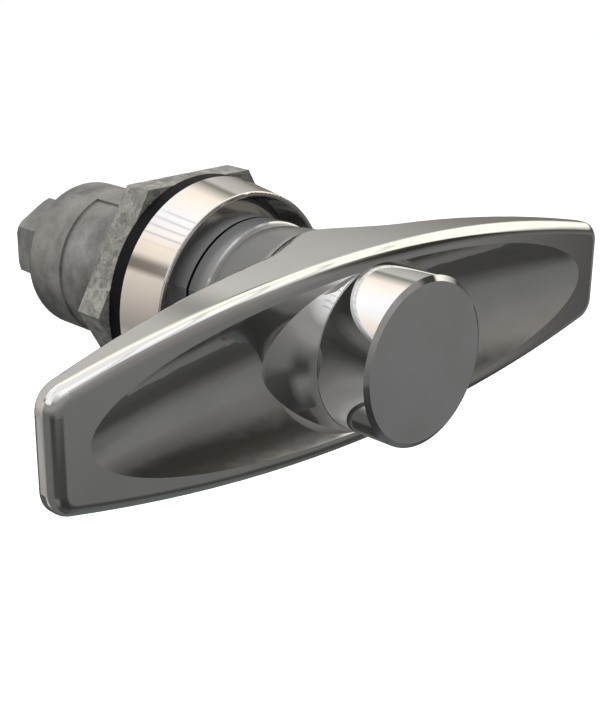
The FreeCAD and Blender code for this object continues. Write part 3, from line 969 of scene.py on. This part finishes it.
@dataclass(frozen=True)
class Strip:
    """A mask that is full about a middle value of one part of the mirrored direction."""

    part: Part
    middle: float
    full: float
    out: float

    def mask(self, graph: Graph, ways: Ways) -> Socket:
        """Builds the mask.

        Args:
            graph: The material's graph.
            ways: The parts of the direction.

        Returns:
            The mask.
        """
        away = graph.maths("ABSOLUTE", graph.maths("SUBTRACT", ways[self.part], self.middle))
        return graph.spread(away, self.full, self.out, 1.0, 0.0)


@dataclass(frozen=True)
class Patch:
    """A tone on the cove's wall, where all its masks meet."""

    tone: Colour
    edges: tuple[Fade | Strip, ...]

    def over(self, graph: Graph, ways: Ways, wall: Socket | Colour) -> Socket:
        """Lays the patch over a wall.

        Args:
            graph: The material's graph.
            ways: The parts of the direction.
            wall: The wall's colour.

        Returns:
            The wall's colour with the patch on it.
        """
        mask = graph.product(*(edge.mask(graph, ways) for edge in self.edges))
        return graph.blend(mask, wall, self.tone)


@dataclass
class Cove:
    """The studio's round wall, seen only in what the metal mirrors, and open at the top.

    Four ramps run from the wall's foot to its top, and the one behind the panel runs
    round the latch's axis. The patches lie on the walls, and the slats and the seam
    darken them. The number of slats is that of a full turn round the axis.
    """

    radius: float = 0.42
    top: float = 0.93
    rings: int = 48
    sides: int = 96
    left: tuple[Stop, ...] = (
        (0.000, grey(0.069)),
        (0.060, grey(0.084)),
        (0.110, grey(0.048)),
        (0.160, grey(0.038)),
        (0.210, grey(0.042)),
        (0.270, (0.055, 0.054, 0.053)),
        (0.310, (0.066, 0.065, 0.064)),
        (0.345, grey(0.150)),
        (0.400, grey(0.170)),
        (0.470, (0.200, 0.198, 0.194)),
        (0.520, (0.237, 0.233, 0.226)),
        (0.580, (0.303, 0.297, 0.288)),
        (0.660, (0.323, 0.317, 0.307)),
        (0.720, (0.364, 0.356, 0.349)),
        (0.770, grey(0.500)),
        (0.820, grey(0.740)),
        (0.870, (1.010, 1.020, 1.040)),
        (0.920, grey(1.350)),
    )
    far_left: tuple[Stop, ...] = (
        (0.000, grey(0.085)),
        (0.040, grey(0.052)),
        (0.080, grey(0.062)),
        (0.140, (0.125, 0.125, 0.122)),
        (0.200, (0.185, 0.185, 0.180)),
        (0.245, (0.180, 0.180, 0.175)),
        (0.300, (0.075, 0.074, 0.072)),
        (0.350, (0.052, 0.052, 0.050)),
        (0.400, (0.085, 0.085, 0.083)),
        (0.450, (0.150, 0.149, 0.145)),
        (0.500, (0.205, 0.203, 0.197)),
        (0.550, (0.300, 0.294, 0.285)),
        (0.630, (0.330, 0.323, 0.313)),
        (0.710, (0.310, 0.304, 0.296)),
        (0.780, grey(0.580)),
        (0.850, (0.800, 0.800, 0.810)),
        (0.930, grey(1.150)),
    )
    ahead: tuple[Stop, ...] = (
        (0.000, (0.100, 0.110, 0.110)),
        (0.120, (0.100, 0.110, 0.110)),
        (0.150, grey(0.050)),
        (0.200, (0.075, 0.075, 0.073)),
        (0.250, grey(0.150)),
        (0.330, grey(0.178)),
        (0.410, (0.195, 0.195, 0.193)),
        (0.500, (0.230, 0.222, 0.214)),
        (0.620, (0.250, 0.236, 0.224)),
        (0.710, (0.270, 0.256, 0.246)),
        (0.760, (0.330, 0.315, 0.305)),
        (0.840, (0.320, 0.306, 0.298)),
        (0.880, (0.950, 0.940, 0.920)),
        (0.920, grey(1.200)),
    )
    right: tuple[Stop, ...] = (
        (0.000, (0.130, 0.145, 0.140)),
        (0.090, (0.120, 0.135, 0.130)),
        (0.130, (0.080, 0.082, 0.080)),
        (0.170, (0.058, 0.057, 0.054)),
        (0.210, (0.060, 0.059, 0.057)),
        (0.240, (0.105, 0.104, 0.102)),
        (0.290, grey(0.170)),
        (0.340, grey(0.190)),
        (0.410, (0.198, 0.196, 0.192)),
        (0.480, (0.138, 0.134, 0.129)),
        (0.530, (0.100, 0.097, 0.093)),
        (0.565, (0.052, 0.050, 0.046)),
        (0.600, (0.036, 0.035, 0.031)),
        (0.670, (0.042, 0.041, 0.035)),
        (0.715, (0.062, 0.060, 0.053)),
        (0.760, (0.145, 0.140, 0.130)),
        (0.790, (0.260, 0.250, 0.240)),
        (0.820, (0.700, 0.690, 0.670)),
        (0.860, (1.050, 1.040, 1.020)),
        (0.910, grey(1.350)),
    )
    behind: tuple[Stop, ...] = (
        (0.000, (0.58, 0.54, 0.49)),
        (0.030, (0.46, 0.43, 0.40)),
        (0.070, (0.34, 0.33, 0.31)),
        (0.110, (0.58, 0.56, 0.54)),
        (0.150, (0.95, 0.95, 0.96)),
        (0.175, (0.30, 0.29, 0.28)),
        (0.200, (0.12, 0.12, 0.11)),
        (0.250, grey(0.11)),
        (0.265, (0.040, 0.040, 0.038)),
        (0.320, (0.045, 0.045, 0.043)),
        (0.360, grey(0.14)),
        (0.470, (0.20, 0.19, 0.16)),
        (0.520, (0.26, 0.24, 0.22)),
        (0.560, (0.48, 0.47, 0.45)),
        (0.615, (0.66, 0.64, 0.61)),
        (0.632, (0.26, 0.25, 0.23)),
        (0.655, (0.66, 0.63, 0.57)),
        (0.680, (1.20, 1.08, 0.96)),
        (0.720, (1.30, 1.20, 1.12)),
        (0.780, (1.25, 1.25, 1.30)),
        (0.830, (1.20, 1.16, 1.14)),
        (0.868, (1.10, 0.98, 0.84)),
        (0.890, (0.98, 0.90, 0.80)),
        (0.908, (0.26, 0.23, 0.19)),
        (0.925, (0.22, 0.20, 0.17)),
        (0.940, (0.82, 0.75, 0.67)),
        (1.000, (0.58, 0.54, 0.49)),
    )

    to_left: Fade = Fade(Part.TURN, -0.75, -0.45)
    to_ahead: Fade = Fade(Part.TURN, 0.19, 0.36)
    to_right: Fade = Fade(Part.TURN, 0.68, 0.80)
    to_behind: Fade = Fade(Part.BACK, 0.30, 0.50)
    low_left: Patch = Patch((0.155, 0.158, 0.152), (
        Fade(Part.TURN, -1.25, -1.00, falling=True), Fade(Part.HIGH, -0.20, 0.00, falling=True)))
    high_left: Patch = Patch((1.10, 1.10, 1.13), (
        Fade(Part.TURN, -1.25, -1.15, falling=True), Fade(Part.HIGH, 0.36, 0.44)))
    right_end: Patch = Patch((0.085, 0.081, 0.078), (
        Fade(Part.TURN, 0.88, 1.02), Fade(Part.TURN, 1.09, 1.15, falling=True),
        Fade(Part.HIGH, -0.48, -0.38), Fade(Part.HIGH, -0.20, -0.10, falling=True)))
    low_right: Patch = Patch((0.14, 0.16, 0.155), (
        Fade(Part.TURN, 1.78, 1.95), Fade(Part.HIGH, -0.50, -0.30, falling=True)))
    window: Patch = Patch((1.35, 1.31, 1.18), (
        Fade(Part.TURN, 0.975, 1.03), Fade(Part.HIGH, 0.10, 0.32), Fade(Part.BACK, 0.40, 0.52, falling=True)))
    far_wall: Patch = Patch((0.60, 0.585, 0.56), (
        Fade(Part.BACK, 0.60, 0.66), Fade(Part.ROUND, 0.625, 0.650)))
    low_wall: Patch = Patch((0.11, 0.11, 0.105), (
        Fade(Part.BACK, 0.537, 0.550), Fade(Part.ROUND, 0.09, 0.12),
        Fade(Part.ROUND, 0.20, 0.22, falling=True)))
    slats: float = 46.0
    slat: Strip = Strip(Part.WAVE, 0.5, 0.08, 0.14)
    slats_behind: Patch = Patch((0.66, 0.66, 0.72), (
        slat, Strip(Part.ROUND, 0.808, 0.040, 0.055), Fade(Part.BACK, 0.42, 0.48),
        Fade(Part.BACK, 0.533, 0.541, falling=True)))
    slats_ahead: Patch = Patch((0.66, 0.66, 0.72), (
        slat, Strip(Part.BACK, -0.25, 0.25, 0.35), Fade(Part.HIGH, 0.62, 0.68)))
    seam: Patch = Patch((0.50, 0.50, 0.52), (
        Strip(Part.BACK, 0.045, 0.02, 0.055), Fade(Part.HIGH, 0.74, 0.88)))

    def ways(self, graph: Graph) -> Ways:
        """Takes the direction from the cove's middle to the place on its wall apart.

        Args:
            graph: The material's graph.

        Returns:
            The parts of the direction.
        """
        unit = graph.add("ShaderNodeVectorMath", operation="NORMALIZE")
        graph.join(graph.own_place(), unit.inputs[0])
        across, back, high = graph.split(unit.outputs[0])
        turn = graph.maths("ARCTAN2", across, graph.product(back, -1.0))
        around = graph.spread(graph.maths("ARCTAN2", high, across), -math.pi, math.pi)
        return {Part.TURN: turn, Part.ROUND: around, Part.BACK: back, Part.HIGH: high,
                Part.HEIGHT: graph.spread(high, -1.0, 1.0),
                Part.WAVE: graph.maths("FRACT", graph.product(around, self.slats))}

    def front(self, graph: Graph, ways: Ways) -> Socket:
        """The walls on the handle's side, from the left end round to the right.

        Args:
            graph: The material's graph.
            ways: The parts of the direction.

        Returns:
            The walls' colour.
        """
        height = ways[Part.HEIGHT]
        wall = graph.ramp(height, self.far_left)
        wall = graph.blend(self.to_left.mask(graph, ways), wall, graph.ramp(height, self.left))
        for patch in (self.low_left, self.high_left):
            wall = patch.over(graph, ways, wall)
        wall = graph.blend(self.to_ahead.mask(graph, ways), wall, graph.ramp(height, self.ahead))
        wall = graph.blend(self.to_right.mask(graph, ways), wall, graph.ramp(height, self.right))
        for patch in (self.right_end, self.low_right):
            wall = patch.over(graph, ways, wall)
        return wall

    def rear(self, graph: Graph, ways: Ways) -> Socket:
        """The wall behind the panel, whose tone runs round the latch's axis.

        Args:
            graph: The material's graph.
            ways: The parts of the direction.

        Returns:
            The wall's colour.
        """
        wall = graph.ramp(ways[Part.ROUND], self.behind)
        for patch in (self.far_wall, self.low_wall):
            wall = patch.over(graph, ways, wall)
        return wall

    def stripes(self, graph: Graph, ways: Ways) -> Socket:
        """Thin dark slats on two stretches of the walls, and one wide seam.

        Args:
            graph: The material's graph.
            ways: The parts of the direction.

        Returns:
            A colour to multiply the glow by.
        """
        tint = WHITE
        for patch in (self.slats_behind, self.slats_ahead, self.seam):
            tint = patch.over(graph, ways, tint)
        return tint

    def material(self) -> bpy.types.Material:
        """A glow that changes with height and from wall to wall.

        Returns:
            The cove's material.
        """
        material, graph = bare_material("cove_glow")
        ways = self.ways(graph)
        glow = graph.blend(self.to_behind.mask(graph, ways), self.front(graph, ways), self.rear(graph, ways))
        glow = graph.tinted(self.window.over(graph, ways, glow), self.stripes(graph, ways))
        shader = graph.add("ShaderNodeEmission")
        graph.join(glow, shader.inputs["Color"])
        graph.join(shader.outputs[0], graph.add("ShaderNodeOutputMaterial").inputs["Surface"])
        return material

    def build(self) -> bpy.types.Object:
        """Makes the cove's wall as a band of rings up to its open top.

        Returns:
            The cove's object.
        """
        points = []
        faces = []
        for ring in range(self.rings + 1):
            lift = -1.0 + (1.0 + self.top) * ring / self.rings
            wide = math.sqrt(max(1.0 - lift * lift, 0.0))
            for side in range(self.sides):
                turn = 2.0 * math.pi * side / self.sides
                points.append((self.radius * wide * math.cos(turn), self.radius * wide * math.sin(turn),
                               self.radius * lift))
        for ring in range(self.rings):
            for side in range(self.sides):
                after = (side + 1) % self.sides
                low = ring * self.sides
                high = low + self.sides
                faces.append((low + side, low + after, high + after, high + side))
        mesh = bpy.data.meshes.new("studio_cove")
        mesh.from_pydata(points, [], faces)
        mesh.materials.append(self.material())
        cove = placed("studio_cove", mesh)
        cove.visible_camera = False
        cove.visible_diffuse = False
        cove.visible_shadow = False
        cove.visible_transmission = False
        return cove


@dataclass
class Studio:
    """World, floor, lamp, cove and camera."""

    floor_level: float = -0.45
    floor_size: float = 6.0
    floor_tone: Colour = grey(0.85)
    floor_glow: float = 0.85
    eye: tuple[float, float, float] = (-0.123955, -0.140973, 0.059122)
    turn: float = -45.618
    tilt: float = 20.400
    roll: float = 0.572
    lens: float = 68.75
    film_width: float = 36.0
    nearest: float = 0.005
    farthest: float = 20.0
    ambient: float = 0.42
    backdrop: float = 1.0
    lamp_power: float = 9.0
    lamp_width: float = 0.9
    lamp_place: tuple[float, float, float] = (-0.15, -0.25, 0.85)
    cove: Cove = field(default_factory=Cove)

    def world(self) -> None:
        """A white background, and a plain level of light from all round."""
        world = bpy.data.worlds.new("studio")
        world.use_nodes = True
        world.node_tree.nodes.clear()
        graph = Graph(world.node_tree)
        shaders = []
        for strength in (self.ambient, self.backdrop):
            shader = graph.add("ShaderNodeBackground")
            shader.inputs["Strength"].default_value = strength
            graph.feed(shader.inputs["Color"], WHITE)
            shaders.append(shader.outputs[0])
        graph.surface(graph.looked_at(), *shaders, "ShaderNodeOutputWorld")
        bpy.context.scene.world = world

    def floor(self) -> bpy.types.Object:
        """The plain pale floor far below the latch.

        Returns:
            The floor's object.
        """
        half = self.floor_size / 2.0
        mesh = bpy.data.meshes.new("floor")
        corners = [(-half, -half, self.floor_level), (half, -half, self.floor_level),
                   (half, half, self.floor_level), (-half, half, self.floor_level)]
        mesh.from_pydata(corners, [], [(0, 1, 2, 3)])
        material, graph = bare_material("floor_white")
        matt = graph.add("ShaderNodeBsdfDiffuse")
        graph.feed(matt.inputs["Color"], self.floor_tone)
        glow = graph.add("ShaderNodeEmission")
        glow.inputs["Strength"].default_value = self.floor_glow
        both = graph.add("ShaderNodeAddShader")
        graph.join(matt.outputs[0], both.inputs[0])
        graph.join(glow.outputs[0], both.inputs[1])
        graph.surface(graph.looked_at(), matt.outputs[0], both.outputs[0], "ShaderNodeOutputMaterial")
        mesh.materials.append(material)
        floor = placed("floor", mesh)
        return floor

    def lamp(self) -> bpy.types.Object:
        """One large soft lamp above the latch.

        Returns:
            The lamp's object.
        """
        data = bpy.data.lights.new("soft_lamp", "AREA")
        data.shape = "DISK"
        data.size = self.lamp_width
        data.energy = self.lamp_power
        lamp = placed("soft_lamp", data)
        place = Vector(self.lamp_place)
        lamp.location = place
        lamp.rotation_euler = (-place).to_track_quat("-Z", "Y").to_euler()
        lamp.visible_glossy = False
        return lamp

    def camera(self) -> bpy.types.Object:
        """The camera at the photograph's place.

        Returns:
            The camera's object.
        """
        turn, tilt, roll = (math.radians(v) for v in (self.turn, self.tilt, self.roll))
        ahead = Vector((-math.sin(turn) * math.cos(tilt), math.cos(turn) * math.cos(tilt), -math.sin(tilt)))
        level = Vector((math.cos(turn), math.sin(turn), 0.0))
        rise = level.cross(ahead)
        across = level * math.cos(roll) + rise * math.sin(roll)
        upward = rise * math.cos(roll) - level * math.sin(roll)
        data = bpy.data.cameras.new("camera")
        data.lens = self.lens
        data.sensor_width = self.film_width
        data.clip_start = self.nearest
        data.clip_end = self.farthest
        camera = placed("camera", data)
        frame = Matrix((across, upward, -ahead)).transposed().to_4x4()
        camera.matrix_world = Matrix.Translation(Vector(self.eye)) @ frame
        bpy.context.scene.camera = camera
        return camera

    def build(self) -> None:
        """Sets up everything that isn't part of the latch."""
        bpy.context.scene.view_settings.view_transform = "Standard"
        self.world()
        self.floor()
        self.lamp()
        self.cove.build()
        self.camera()
        log.info("studio: world, floor, lamp, cove and camera")


def main() -> None:
    """Loads the frame, dresses each sub-assembly and sets up the studio."""
    logging.basicConfig(level=logging.INFO, format="%(name)s: %(message)s")
    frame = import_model()
    dresser = Dresser(frame["nodes"], Groups())
    for assembly in (PolishedHandle(), PanelSide(), InnerWorks()):
        assembly.build(dresser)
    Studio().build()


if __name__ == "__main__":
    main()
